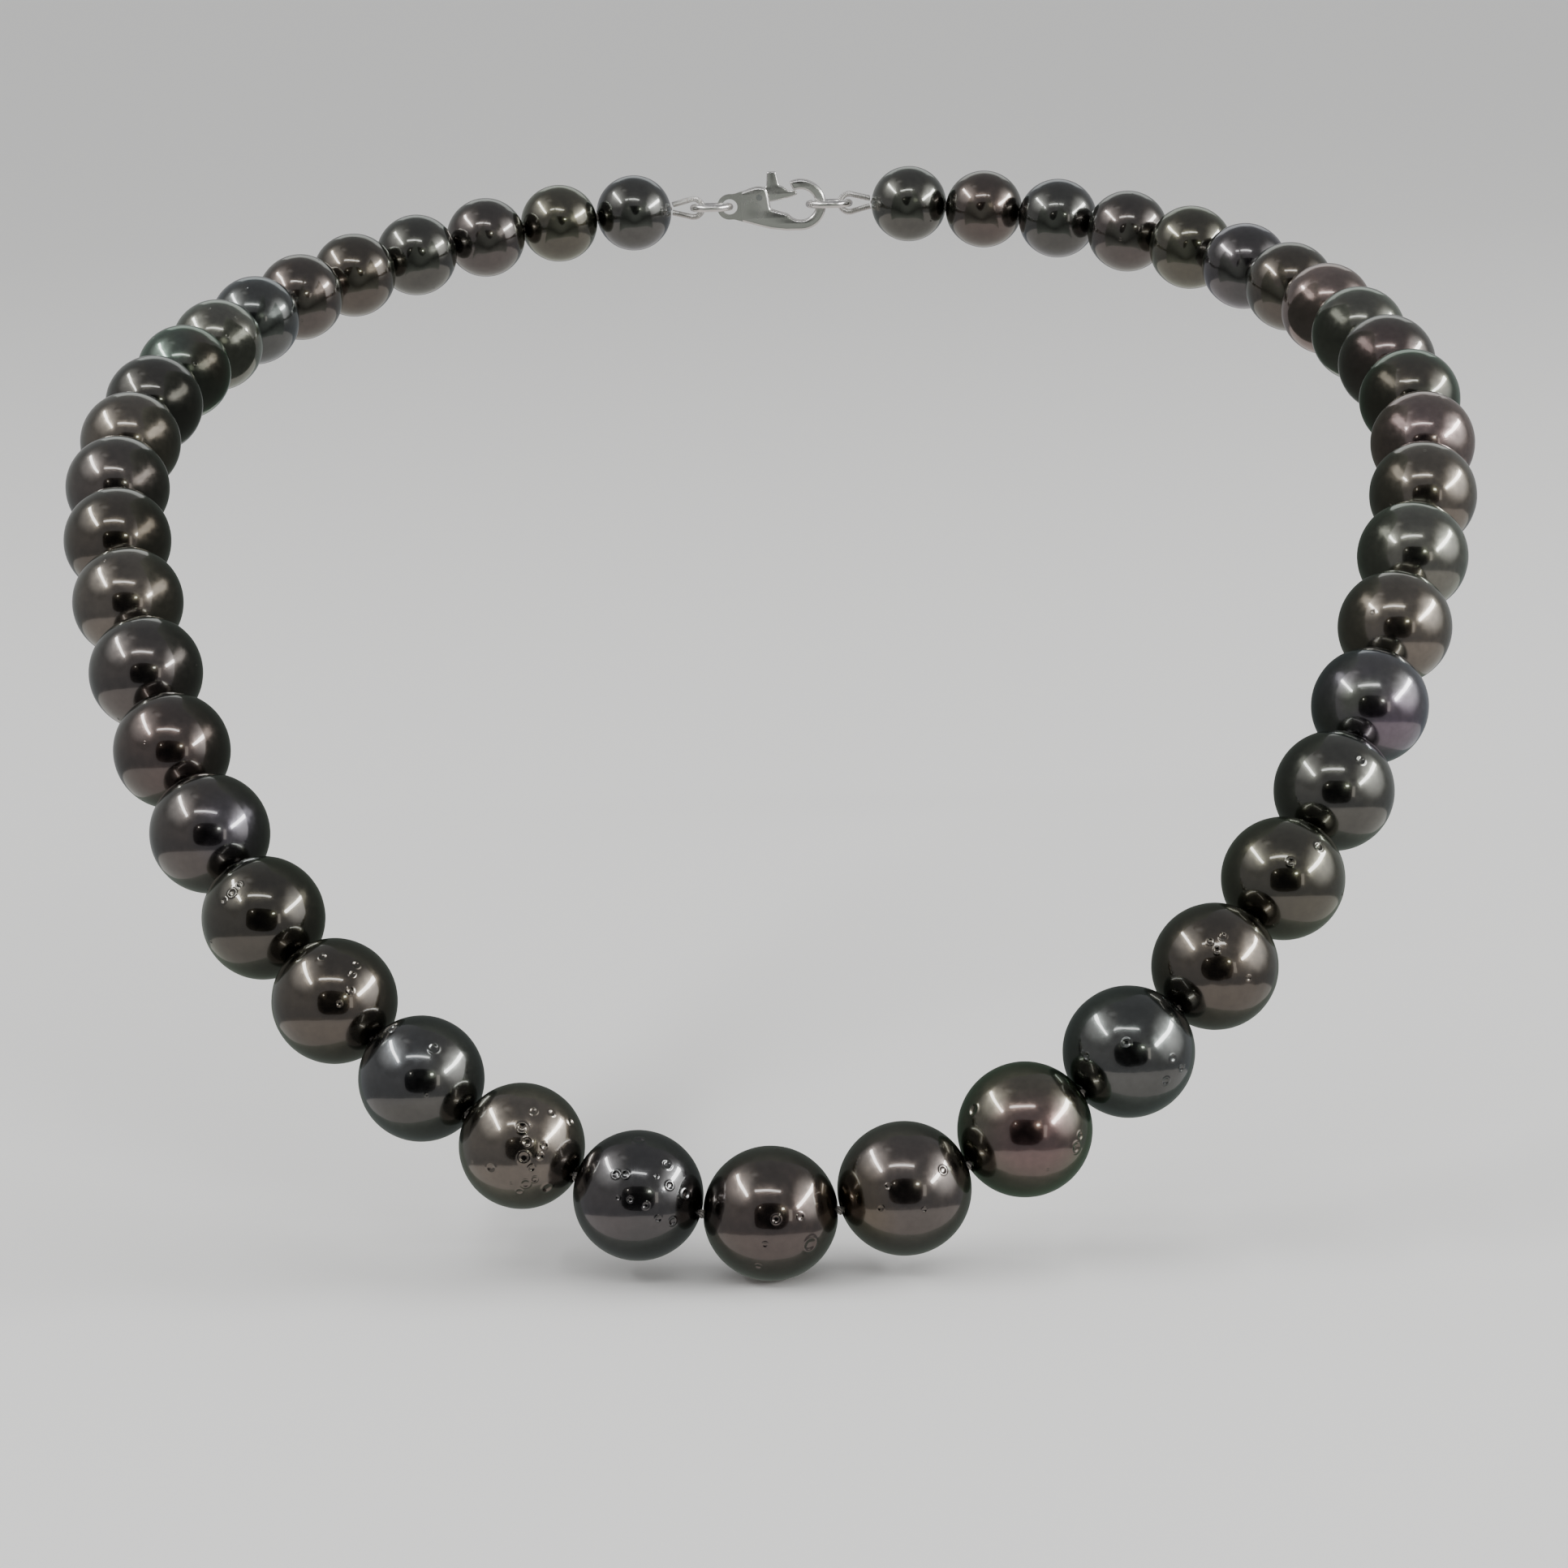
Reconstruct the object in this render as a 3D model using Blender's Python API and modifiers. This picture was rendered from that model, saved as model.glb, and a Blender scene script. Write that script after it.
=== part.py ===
"""A graduated pearl strand in the shape it takes when worn, knotted on silk and closed by a trigger clasp.

The origin is on the wearer's neck axis, level with the pearls at the sides of the neck. +Z is up, the
front of the neck is towards -Y, and the clasp lies at the nape, towards +Y. Left is -X.
"""

import math

import bmesh
import bpy
from mathutils import Matrix, Vector

# The strand.
PEARLS_EACH_SIDE = 22
FRONT_DIAMETER = 0.01105
NAPE_DIAMETER = 0.0080
GRADUATION_POWER = 1.15
LEFT_DIP = 0.00045  # the pearls just left of the front one are a little small,
LEFT_DIP_CENTRE = 2.0  # counted in pearls from the front one,
LEFT_DIP_WIDTH = 1.3
RIGHT_BUMP = 0.00035  # and those just right of it a little large
RIGHT_BUMP_CENTRE = 2.4
RIGHT_BUMP_WIDTH = 1.0
KNOT_GAP = 0.00035  # between two neighbouring pearls

# The loop's distance from the neck axis and its height, every 22.5 degrees from the front to the nape.
LOOP_RADII = (0.0650, 0.0643, 0.0632, 0.0609, 0.0619, 0.0656, 0.0745, 0.0823, 0.0825)
LOOP_HEIGHTS = (-0.0533, -0.0460, -0.0299, -0.0127, 0.0, 0.0083, 0.0141, 0.0197, 0.0221)

# One drilled pearl.
BORE_RADIUS = 0.0005
MOUTH_RADIUS = 0.00085
MOUTH_DEPTH = 0.00045
PEARL_ARC_STEPS = 7
PEARL_SIDES = 12

# The silk, with a knot in every gap.
THREAD_RADIUS = 0.0002
KNOT_RADIUS = 0.0005
THREAD_END_INSET = 0.0015  # how far inside the end pearls the thread's two ends lie
KNOT_SHAPE = ((-1.05, 0.4), (-0.45, 0.9), (0.45, 0.9), (1.05, 0.4))  # place and width, in knot radii

# The French wire loops that join the strand to the clasp.
GIMP_RADIUS = 0.00035
GIMP_LOOP_RADIUS = 0.0010
GIMP_LEG_SPACING = 0.00085
GIMP_CLEARANCE = 0.0003
GIMP_SPREAD_DEG = 115

# The clasp's rings.
RING_WIRE_RADIUS = 0.0004
JUMP_RING_RADIUS = 0.0020
TAIL_RING_RADIUS = 0.0022
TAIL_RING_CLEARANCE = 0.00035

# The claw, in its own plane: u runs from the eye to the hook, v is up and w is its thickness.
CLAW_THICKNESS = 0.0019
EYE_THICKNESS = 0.0010
EYE_RADIUS = 0.0014
EYE_HOLE_RADIUS = 0.00065
HOOK_CENTRE_U = 0.0078
HOOK_OUTER_RADIUS = 0.0028
HOOK_INNER_RADIUS = 0.0017
NOSE_DEG = 115
SLOT_WIDTH = 0.0011
SLOT_LENGTH = 0.0040
SLOT_HEIGHT = 0.0034
SLOT_MIDDLE = (0.0040, 0, 0.0010)
EYE_CUT_SIZE = (0.0040, 0.0020, 0.0060)
EYE_CUT_U = -0.0006
PIVOT = (0.0033, 0.00095)
PIN_RADIUS = 0.00035
PIN_HOLE_RADIUS = 0.00042
LEVER_THICKNESS = 0.0008
LEVER_HEEL_RADIUS = 0.0009
SPRING_WIRE_RADIUS = 0.00012
SPRING_START = (0.0023, -0.00035)
SPRING_LENGTH = 0.0021
SPRING_BOW = 0.00025
SPRING_STEPS = 8
EDGE_BEVEL = 0.0002

PEARL_COLOUR = (0.10, 0.085, 0.09)
SILK_COLOUR = (0.35, 0.32, 0.29)
SILVER_COLOUR = (0.82, 0.81, 0.79)
STEEL_COLOUR = (0.55, 0.56, 0.58)


def clear_scene():
    for leftover in list(bpy.data.objects):
        bpy.data.objects.remove(leftover, do_unlink=True)


def new_collection(name):
    collection = bpy.data.collections.new(name)
    bpy.context.scene.collection.children.link(collection)
    return collection


def material(name, colour, roughness, metallic):
    made = bpy.data.materials.new(name)
    made.use_nodes = True
    shader = made.node_tree.nodes["Principled BSDF"]
    shader.inputs["Base Color"].default_value = (*colour, 1)
    shader.inputs["Roughness"].default_value = roughness
    shader.inputs["Metallic"].default_value = metallic
    return made


def put(obj, look):
    """Puts an object in the necklace's collection with its material."""
    necklace.objects.link(obj)
    obj.data.materials.append(look)
    return obj


def smooth(obj, sharp_deg=40):
    obj.data.shade_smooth()
    obj.data.set_sharp_from_angle(angle=math.radians(sharp_deg))
    return obj


# The loop.


def cosine_series(stations):
    """The series of cosines that runs through values given at even steps from 0 to 180 degrees."""
    last = len(stations) - 1
    halved = [v / 2 if j in (0, last) else v for j, v in enumerate(stations)]
    terms = [
        2 / last * sum(v * math.cos(k * j * math.pi / last) for j, v in enumerate(halved))
        for k in range(last + 1)
    ]
    terms[0] /= 2
    terms[last] /= 2
    return terms


RADIUS_TERMS = cosine_series(LOOP_RADII)
HEIGHT_TERMS = cosine_series(LOOP_HEIGHTS)


def loop_point(turn):
    """The strand's centre line at this turn from the front, in radians, positive to the right."""
    radius = sum(term * math.cos(k * turn) for k, term in enumerate(RADIUS_TERMS))
    height = sum(term * math.cos(k * turn) for k, term in enumerate(HEIGHT_TERMS))
    return Vector((radius * math.sin(turn), -radius * math.cos(turn), height))


def pearl_diameter(count, side):
    """The diameter of the pearl that is count places from the front one, on side -1 or +1."""
    step = (count / PEARLS_EACH_SIDE) ** GRADUATION_POWER
    diameter = FRONT_DIAMETER - (FRONT_DIAMETER - NAPE_DIAMETER) * step
    if side < 0:
        diameter -= LEFT_DIP * math.exp(-(((count - LEFT_DIP_CENTRE) / LEFT_DIP_WIDTH) ** 2))
    if side > 0:
        diameter += RIGHT_BUMP * math.exp(-(((count - RIGHT_BUMP_CENTRE) / RIGHT_BUMP_WIDTH) ** 2))
    return diameter


def turn_at_distance(start, side, centre, distance):
    """The turn, going on from start, at which the loop is this far from centre."""
    near, far = start, start + side * 0.35
    for _ in range(40):
        middle = (near + far) / 2
        if (loop_point(middle) - centre).length < distance:
            near = middle
        else:
            far = middle
    return (near + far) / 2


def string_pearls():
    """Every pearl as [name, centre, radius], in order from the left end round the front to the right end."""
    front = ["pearl_front", loop_point(0), FRONT_DIAMETER / 2]
    sides = {}
    for side, word in ((-1, "left"), (1, "right")):
        chain = [front]
        turn = 0
        for count in range(1, PEARLS_EACH_SIDE + 1):
            radius = pearl_diameter(count, side) / 2
            spacing = chain[-1][2] + radius + KNOT_GAP
            turn = turn_at_distance(turn, side, chain[-1][1], spacing)
            chain.append([f"pearl_{word}_{count:02d}", loop_point(turn), radius])
        sides[side] = chain[1:]
    return sides[-1][::-1] + [front] + sides[1]


def bore_directions(pearls):
    """The way each bore runs: along the line between the pearl's two neighbours."""
    last = len(pearls) - 1
    found = []
    for place in range(last + 1):
        before = pearls[max(place - 1, 0)][1]
        after = pearls[min(place + 1, last)][1]
        found.append((after - before).normalized())
    # An end pearl's bore turns on as far past its neighbour's as the neighbour's does.
    found[0] = (2 * found[0] - found[1]).normalized()
    found[last] = (2 * found[last] - found[last - 1]).normalized()
    return found


def mouth_height(radius):
    """How far from a pearl's centre the flat of its bore's mouth lies."""
    return math.sqrt(radius**2 - MOUTH_RADIUS**2)


# The pearls and the silk.


def drilled_pearl(name, centre, radius, direction):
    """A sphere turned about its bore, with a countersunk mouth at both ends for the knots."""
    top = mouth_height(radius)
    start = math.asin(MOUTH_RADIUS / radius)
    span = math.pi - 2 * start
    angles = [start + span * step / PEARL_ARC_STEPS for step in range(PEARL_ARC_STEPS + 1)]
    profile = [(radius * math.sin(a), radius * math.cos(a)) for a in angles]
    profile += [(BORE_RADIUS, MOUTH_DEPTH - top), (BORE_RADIUS, top - MOUTH_DEPTH)]
    mesh = bpy.data.meshes.new(name)
    count = len(profile)
    edges = [(i, (i + 1) % count) for i in range(count)]
    mesh.from_pydata([(x, 0, z) for x, z in profile], edges, [])
    pearl = put(bpy.data.objects.new(name, mesh), nacre)
    screw = pearl.modifiers.new("turned", "SCREW")
    screw.steps = PEARL_SIDES
    screw.render_steps = PEARL_SIDES
    screw.use_merge_vertices = True
    screw.merge_threshold = 0.00001
    screw.use_smooth_shade = True
    pearl.location = centre
    pearl.rotation_euler = direction.to_track_quat("Z", "Y").to_euler()
    return pearl


def wire(name, points, radius, look, scales=None, roundness=2, closed=False):
    """A round wire through these points, with closed ends. scales widen it point by point."""
    curve = bpy.data.curves.new(name, "CURVE")
    curve.dimensions = "3D"
    curve.bevel_depth = radius
    curve.bevel_resolution = roundness
    curve.use_fill_caps = not closed
    spline = curve.splines.new("POLY")
    spline.points.add(len(points) - 1)
    spline.use_cyclic_u = closed
    for place, point in enumerate(points):
        spline.points[place].co = (*point, 1)
        spline.points[place].radius = scales[place] if scales else 1
    return smooth(put(meshed(bpy.data.objects.new(name, curve)), look), 60)


def meshed(curve_object):
    """A mesh object with the shape of this curve object, which it replaces, its caps welded on."""
    helper = bpy.context.scene.collection
    helper.objects.link(curve_object)
    bpy.context.view_layer.update()
    graph = bpy.context.evaluated_depsgraph_get()
    mesh = bpy.data.meshes.new_from_object(curve_object.evaluated_get(graph))
    name = curve_object.name
    place = curve_object.matrix_world.copy()
    bpy.data.objects.remove(curve_object, do_unlink=True)
    work = bmesh.new()
    work.from_mesh(mesh)
    bmesh.ops.remove_doubles(work, verts=work.verts, dist=0.000001)
    bmesh.ops.recalc_face_normals(work, faces=work.faces)
    work.to_mesh(mesh)
    work.free()
    mesh.materials.clear()
    made = bpy.data.objects.new(name, mesh)
    made.matrix_world = place
    return made


def knot_places(pearls, directions):
    """The middle of each gap, halfway between the two mouths that face each other across it."""
    places = []
    for place in range(len(pearls) - 1):
        _, centre, radius = pearls[place]
        _, next_centre, next_radius = pearls[place + 1]
        leaving = centre + directions[place] * mouth_height(radius)
        entering = next_centre - directions[place + 1] * mouth_height(next_radius)
        places.append((leaving + entering) / 2)
    return places


def silk_thread(pearls, directions, knots):
    """The silk through every bore, swelling to a knot in every gap."""
    points = []
    scales = []
    for place, (_, centre, radius) in enumerate(pearls):
        along = directions[place]
        reach = radius - THREAD_END_INSET
        points += [centre - along * reach, centre + along * reach]
        scales += [1, 1]
        if place == len(knots):
            break
        middle = knots[place]
        across = (pearls[place + 1][1] - centre).normalized()
        for shift, width in KNOT_SHAPE:
            points.append(middle + across * shift * KNOT_RADIUS)
            scales.append(width * KNOT_RADIUS / THREAD_RADIUS)
    return wire("silk_thread", points, THREAD_RADIUS, silk, scales, roundness=1)


# The clasp.


def clasp_frame(pearls, directions):
    """The clasp's place: x from the left end pearl's mouth to the right one's, z up. Also the span."""
    left = pearls[0][1] - directions[0] * mouth_height(pearls[0][2])
    right = pearls[-1][1] + directions[-1] * mouth_height(pearls[-1][2])
    along = (right - left).normalized()
    back = Vector((0, 0, 1)).cross(along).normalized()
    up = along.cross(back)
    middle = (left + right) / 2
    frame = Matrix((along, back, up)).transposed().to_4x4()
    return Matrix.Translation(middle) @ frame, (right - left).length


def place_in_clasp(obj, u=0.0, v=0.0):
    """Moves an object made about the clasp's own origin to u along the clasp and v above it."""
    obj.matrix_world = clasp @ Matrix.Translation((u, 0, v))
    return obj


def gimp_loop(name, mouth_u, ring_u):
    """French wire that leaves a pearl's mouth, runs round a ring's wire and comes back to the mouth."""
    way = 1 if ring_u > mouth_u else -1
    start = mouth_u + way * GIMP_CLEARANCE - ring_u
    leg = GIMP_LEG_SPACING / 2
    spread = math.radians(GIMP_SPREAD_DEG)
    half = [(start, leg)]
    for step in range(6):
        turn = spread * (1 - step / 5)
        half.append((way * GIMP_LOOP_RADIUS * math.cos(turn), GIMP_LOOP_RADIUS * math.sin(turn)))
    outline = half + [(u, -v) for u, v in half[-2::-1]]
    points = [(u, 0, v) for u, v in outline]
    return place_in_clasp(wire(name, points, GIMP_RADIUS, silver), ring_u)


def ring(name, radius, centre_u):
    """A round wire ring that lies level, across the loops and the hook that it links."""
    turns = [2 * math.pi * step / 20 for step in range(20)]
    points = [(radius * math.cos(a), radius * math.sin(a), 0) for a in turns]
    return place_in_clasp(wire(name, points, RING_WIRE_RADIUS, silver, closed=True), centre_u)


def arc(centre, radius, from_deg, to_deg, steps):
    """Points on an arc in the claw's plane, both ends included."""
    turns = [math.radians(from_deg + (to_deg - from_deg) * i / steps) for i in range(steps + 1)]
    return [(centre[0] + radius * math.cos(a), centre[1] + radius * math.sin(a)) for a in turns]


def plate(name, outlines, thickness, look):
    """A flat piece in the claw's plane, with the first outline as its edge and the rest as holes."""
    curve = bpy.data.curves.new(name, "CURVE")
    curve.dimensions = "2D"
    curve.fill_mode = "BOTH"
    curve.extrude = thickness / 2
    for outline in outlines:
        spline = curve.splines.new("POLY")
        spline.points.add(len(outline) - 1)
        spline.use_cyclic_u = True
        for place, (u, v) in enumerate(outline):
            spline.points[place].co = (u, v, 0, 1)
    flat = meshed(bpy.data.objects.new(name, curve))
    flat.data.transform(Matrix.Rotation(math.pi / 2, 4, "X"))
    return put(flat, look)


def claw_outline():
    """The claw's edge: from the hook's nose round to the spine, on round the eye, and up to the slot."""
    hook = (HOOK_CENTRE_U, 0)
    edge = arc(hook, HOOK_OUTER_RADIUS, NOSE_DEG, -95, 16)
    edge += [(0.0045, -0.00255), (0.0022, -0.0019)]
    edge += arc((0, 0), EYE_RADIUS, -75, -285, 12)
    edge += [(0.0016, 0.0017), (0.0030, 0.0021), (0.0041, 0.0019)]
    edge += [(0.0043, 0.0010), (0.0045, -0.0004)]
    edge += arc(hook, HOOK_INNER_RADIUS, -145, NOSE_DEG, 14)
    return edge


def lever_outline():
    """The trigger's edge: its heel round the pivot, the thumb tab above, and the tip under the hook's nose."""
    edge = arc(PIVOT, LEVER_HEEL_RADIUS, 100, 275, 8)
    edge += [(0.0045, 0.0004), (0.0056, 0.0006), (0.0068, 0.0007), (0.0070, 0.0009)]
    edge += [(0.0069, 0.0011), (0.0063, 0.0013), (0.0061, 0.0019), (0.0054, 0.0021)]
    edge += [(0.0052, 0.0031), (0.0048, 0.0034), (0.0044, 0.0032), (0.0042, 0.0021)]
    return edge


def cut(obj, cutter):
    """Takes the cutter's shape out of an object."""
    cutter.hide_render = True
    cutter.display_type = "WIRE"
    boolean = obj.modifiers.new(f"less {cutter.name}", "BOOLEAN")
    boolean.operation = "DIFFERENCE"
    boolean.solver = "EXACT"
    boolean.object = cutter


def box_cutter(name, size, middle):
    """A box in the clasp's frame, for cutting."""
    mesh = bpy.data.meshes.new(name)
    work = bmesh.new()
    bmesh.ops.create_cube(work, size=1)
    bmesh.ops.scale(work, vec=size, verts=work.verts)
    bmesh.ops.translate(work, vec=middle, verts=work.verts)
    work.to_mesh(mesh)
    work.free()
    box = bpy.data.objects.new(name, mesh)
    cutters.objects.link(box)
    return box


def rounded_edges(obj):
    bevel = obj.modifiers.new("rounded edges", "BEVEL")
    bevel.width = EDGE_BEVEL
    bevel.segments = 1
    bevel.limit_method = "ANGLE"
    bevel.angle_limit = math.radians(60)


def trigger_clasp(eye_u):
    """The claw with its pin, spring and trigger. The trigger's origin is on the pin's axis."""
    eye_hole = arc((0, 0), EYE_HOLE_RADIUS, 0, 337.5, 15)
    pin_hole = arc(PIVOT, PIN_HOLE_RADIUS, 0, 330, 11)
    claw = plate("claw_body", [claw_outline(), eye_hole, pin_hole], CLAW_THICKNESS, silver)
    rounded_edges(claw)
    # The trigger swings in a slot between the claw's cheeks, and the eye is thinner than the hook.
    tools = [box_cutter("slot_cutter", (SLOT_LENGTH, SLOT_WIDTH, SLOT_HEIGHT), SLOT_MIDDLE)]
    for side, word in ((-1, "front"), (1, "back")):
        middle = (EYE_CUT_U, side * (EYE_THICKNESS + EYE_CUT_SIZE[1]) / 2, 0)
        tools.append(box_cutter(f"eye_cutter_{word}", EYE_CUT_SIZE, middle))
    for tool in tools:
        cut(claw, tool)

    lever = plate("trigger_lever", [lever_outline(), pin_hole], LEVER_THICKNESS, silver)
    lever.data.transform(Matrix.Translation((-PIVOT[0], 0, -PIVOT[1])))

    ends = [(PIVOT[0], side * CLAW_THICKNESS / 2, PIVOT[1]) for side in (-1, 1)]
    pin = wire("trigger_pin", ends, PIN_RADIUS, steel, roundness=4)

    bow = []
    for step in range(SPRING_STEPS + 1):
        part_way = step / SPRING_STEPS
        rise = SPRING_BOW * math.sin(math.pi * part_way)
        bow.append((SPRING_START[0] + SPRING_LENGTH * part_way, 0, SPRING_START[1] + rise))
    spring = wire("trigger_spring", bow, SPRING_WIRE_RADIUS, steel, roundness=1)

    for piece in (claw, pin, spring, *tools):
        place_in_clasp(piece, eye_u)
    place_in_clasp(lever, eye_u + PIVOT[0], PIVOT[1])


clear_scene()
necklace = new_collection("pearl_necklace")
cutters = new_collection("cutters")
nacre = material("nacre", PEARL_COLOUR, 0.2, 0.6)
silk = material("silk", SILK_COLOUR, 0.8, 0.0)
silver = material("silver", SILVER_COLOUR, 0.2, 1.0)
steel = material("steel", STEEL_COLOUR, 0.3, 1.0)

strand = string_pearls()
bores = bore_directions(strand)
for (pearl_name, pearl_centre, pearl_radius), bore in zip(strand, bores):
    drilled_pearl(pearl_name, pearl_centre, pearl_radius, bore)
knot_middles = knot_places(strand, bores)
silk_thread(strand, bores, knot_middles)

clasp, clasp_span = clasp_frame(strand, bores)
hook_end_u = HOOK_CENTRE_U + HOOK_INNER_RADIUS - TAIL_RING_CLEARANCE - RING_WIRE_RADIUS
links_length = 2 * JUMP_RING_RADIUS + hook_end_u + 2 * TAIL_RING_RADIUS
left_ring_u = -links_length / 2
right_ring_u = links_length / 2
claw_eye_u = left_ring_u + 2 * JUMP_RING_RADIUS
gimp_loop("gimp_left", -clasp_span / 2, left_ring_u)
gimp_loop("gimp_right", clasp_span / 2, right_ring_u)
ring("jump_ring", JUMP_RING_RADIUS, left_ring_u + JUMP_RING_RADIUS)
ring("tail_ring", TAIL_RING_RADIUS, right_ring_u - TAIL_RING_RADIUS)
trigger_clasp(claw_eye_u)
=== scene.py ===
"""The looks of a graduated strand of dark pearls, knotted on silk and closed by a silver trigger clasp."""

import math

import bmesh
import bpy
import numpy as np
from mathutils import Matrix, Vector


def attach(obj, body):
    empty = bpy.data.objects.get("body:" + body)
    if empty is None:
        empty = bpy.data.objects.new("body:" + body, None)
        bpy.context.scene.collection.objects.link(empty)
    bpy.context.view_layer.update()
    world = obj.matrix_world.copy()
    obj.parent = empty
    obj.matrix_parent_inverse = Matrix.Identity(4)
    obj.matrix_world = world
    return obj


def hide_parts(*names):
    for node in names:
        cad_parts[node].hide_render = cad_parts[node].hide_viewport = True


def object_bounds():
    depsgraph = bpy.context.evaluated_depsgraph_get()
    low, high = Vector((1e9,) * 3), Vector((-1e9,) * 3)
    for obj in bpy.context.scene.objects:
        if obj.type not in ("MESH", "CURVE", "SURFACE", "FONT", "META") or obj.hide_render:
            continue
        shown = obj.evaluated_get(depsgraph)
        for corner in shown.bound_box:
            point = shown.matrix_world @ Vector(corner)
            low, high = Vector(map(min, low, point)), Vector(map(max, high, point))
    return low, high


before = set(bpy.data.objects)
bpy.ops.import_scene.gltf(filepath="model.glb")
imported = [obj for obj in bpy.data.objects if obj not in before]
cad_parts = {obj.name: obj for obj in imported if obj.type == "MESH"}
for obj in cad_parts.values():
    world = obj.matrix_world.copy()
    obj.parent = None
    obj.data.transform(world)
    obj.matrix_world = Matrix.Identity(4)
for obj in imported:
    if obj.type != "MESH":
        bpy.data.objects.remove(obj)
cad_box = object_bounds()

# The strand, as the CAD model has it.
PEARLS_EACH_SIDE = 22
MOUTH_RADIUS = 0.00085
MOUTH_DEPTH = 0.00045
BORE_RADIUS = 0.0005
SILK_RADIUS = 0.0002
KNOT_RADIUS = 0.00036

# How finely a pearl is turned, and how far it strays from round.
PEARL_SIDES = 96
PEARL_STEPS = 64
OUT_OF_ROUND = 0.005
RIPPLE = 0.003
RIPPLE_WAVES = 14
PIT_DEPTH = 0.17  # as a share of the pit's own radius
PIT_LIP = 0.55  # the raised ring round a pit, as a share of its depth
GROWTH = 0.00012  # the CAD pearls stand this far back from where real ones nearly touch

# The French wire.
GIMP_LOOP_RADIUS = 0.0010
GIMP_LEG_SPACING = 0.00085
GIMP_CLEARANCE = 0.0003
GIMP_SPREAD_DEG = 115
GIMP_COIL_RADIUS = 0.00027
GIMP_WIRE_RADIUS = 0.000075
GIMP_PITCH = 2.1 * GIMP_WIRE_RADIUS

# The clasp.
RING_WIRE_RADIUS = 0.0004
JUMP_RING_RADIUS = 0.0020
TAIL_RING_RADIUS = 0.0022
TAIL_RING_CLEARANCE = 0.00035
SEAM_TURN = 1.9  # where the solder lies on a ring, in radians,
SEAM_REACH = 0.16  # how far it spreads,
SEAM_SWELL = 0.07  # and how much thicker it makes the wire
CLAW_THICKNESS = 0.0019
CLAW_ROUNDING = 0.0003  # of its edges and corners
EYE_THICKNESS = 0.0010
EYE_RADIUS = 0.0014
EYE_HOLE_RADIUS = 0.00065
DRILL_ROUNDING = 0.0002
DRILL_LENGTH = 0.004
HOOK_CENTRE_U = 0.0078
HOOK_OUTER_RADIUS = 0.0028
HOOK_INNER_RADIUS = 0.0017
NOSE_DEG = 115
PIVOT = (0.0033, 0.00095)
LEVER_THICKNESS = 0.0008
LEVER_ROUNDING = 0.00018
LEVER_SOFTENING = 0.0002
LEVER_HEEL_RADIUS = 0.0009
SLOT_SIZE = (0.0040, 0.0011, 0.0034)
SLOT_MIDDLE = (0.0040, 0, 0.0010)
EYE_CUT_SIZE = (0.0040, 0.0020, 0.0060)
EYE_CUT_U = -0.0006

# The camera: 113.5 mm on a 36 mm sensor, a little above the strand and looking 10 degrees down.
CAMERA_PLACE = (0.01197, -0.46501, 0.0536)
CAMERA_YAW_DEG = -1.397
CAMERA_PITCH_DEG = -10.0
CAMERA_ROLL_DEG = -1.766
CAMERA_LENS = 113.48

# Each tone is the body colour of a pearl, its overtone, which lies on it in soft clouds, and its edge tint.
COOL_EDGE = (0.75, 0.85, 0.80)
TONES = {
    "aubergine": ((0.080, 0.068, 0.058), (0.104, 0.081, 0.069), COOL_EDGE),
    "plum": ((0.068, 0.056, 0.049), (0.090, 0.068, 0.060), COOL_EDGE),
    "chocolate": ((0.072, 0.062, 0.048), (0.096, 0.081, 0.063), COOL_EDGE),
    "umber": ((0.114, 0.100, 0.082), (0.150, 0.132, 0.107), COOL_EDGE),
    "fawn": ((0.122, 0.108, 0.086), (0.157, 0.137, 0.110), COOL_EDGE),
    "dusk": ((0.090, 0.080, 0.071), (0.114, 0.096, 0.086), COOL_EDGE),
    "mauve": ((0.077, 0.069, 0.063), (0.098, 0.082, 0.075), COOL_EDGE),
    "rose": ((0.168, 0.134, 0.122), (0.236, 0.178, 0.162), (0.85, 0.80, 0.75)),
    "taupe": ((0.130, 0.113, 0.091), (0.165, 0.143, 0.116), COOL_EDGE),
    "olive": ((0.070, 0.067, 0.049), (0.092, 0.088, 0.063), (0.75, 0.88, 0.74)),
    "moss": ((0.052, 0.048, 0.037), (0.068, 0.062, 0.047), (0.75, 0.88, 0.74)),
    "graphite": ((0.068, 0.070, 0.060), (0.088, 0.090, 0.077), COOL_EDGE),
    "charcoal": ((0.050, 0.050, 0.043), (0.064, 0.061, 0.052), COOL_EDGE),
    "steel": ((0.068, 0.070, 0.063), (0.086, 0.089, 0.082), (0.74, 0.82, 0.88)),
    "violet_black": ((0.060, 0.061, 0.062), (0.080, 0.074, 0.076), (0.76, 0.80, 0.88)),
    "slate": ((0.060, 0.068, 0.064), (0.078, 0.085, 0.081), (0.72, 0.84, 0.88)),
    "sage": ((0.117, 0.120, 0.100), (0.150, 0.153, 0.127), (0.70, 0.88, 0.76)),
    "peacock": ((0.104, 0.099, 0.071), (0.130, 0.116, 0.087), (0.38, 0.72, 0.48)),
    "lagoon": ((0.092, 0.102, 0.084), (0.128, 0.120, 0.136), (0.62, 0.74, 0.86)),
    "myrtle": ((0.058, 0.068, 0.054), (0.088, 0.079, 0.062), (0.50, 0.80, 0.62)),
}

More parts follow.
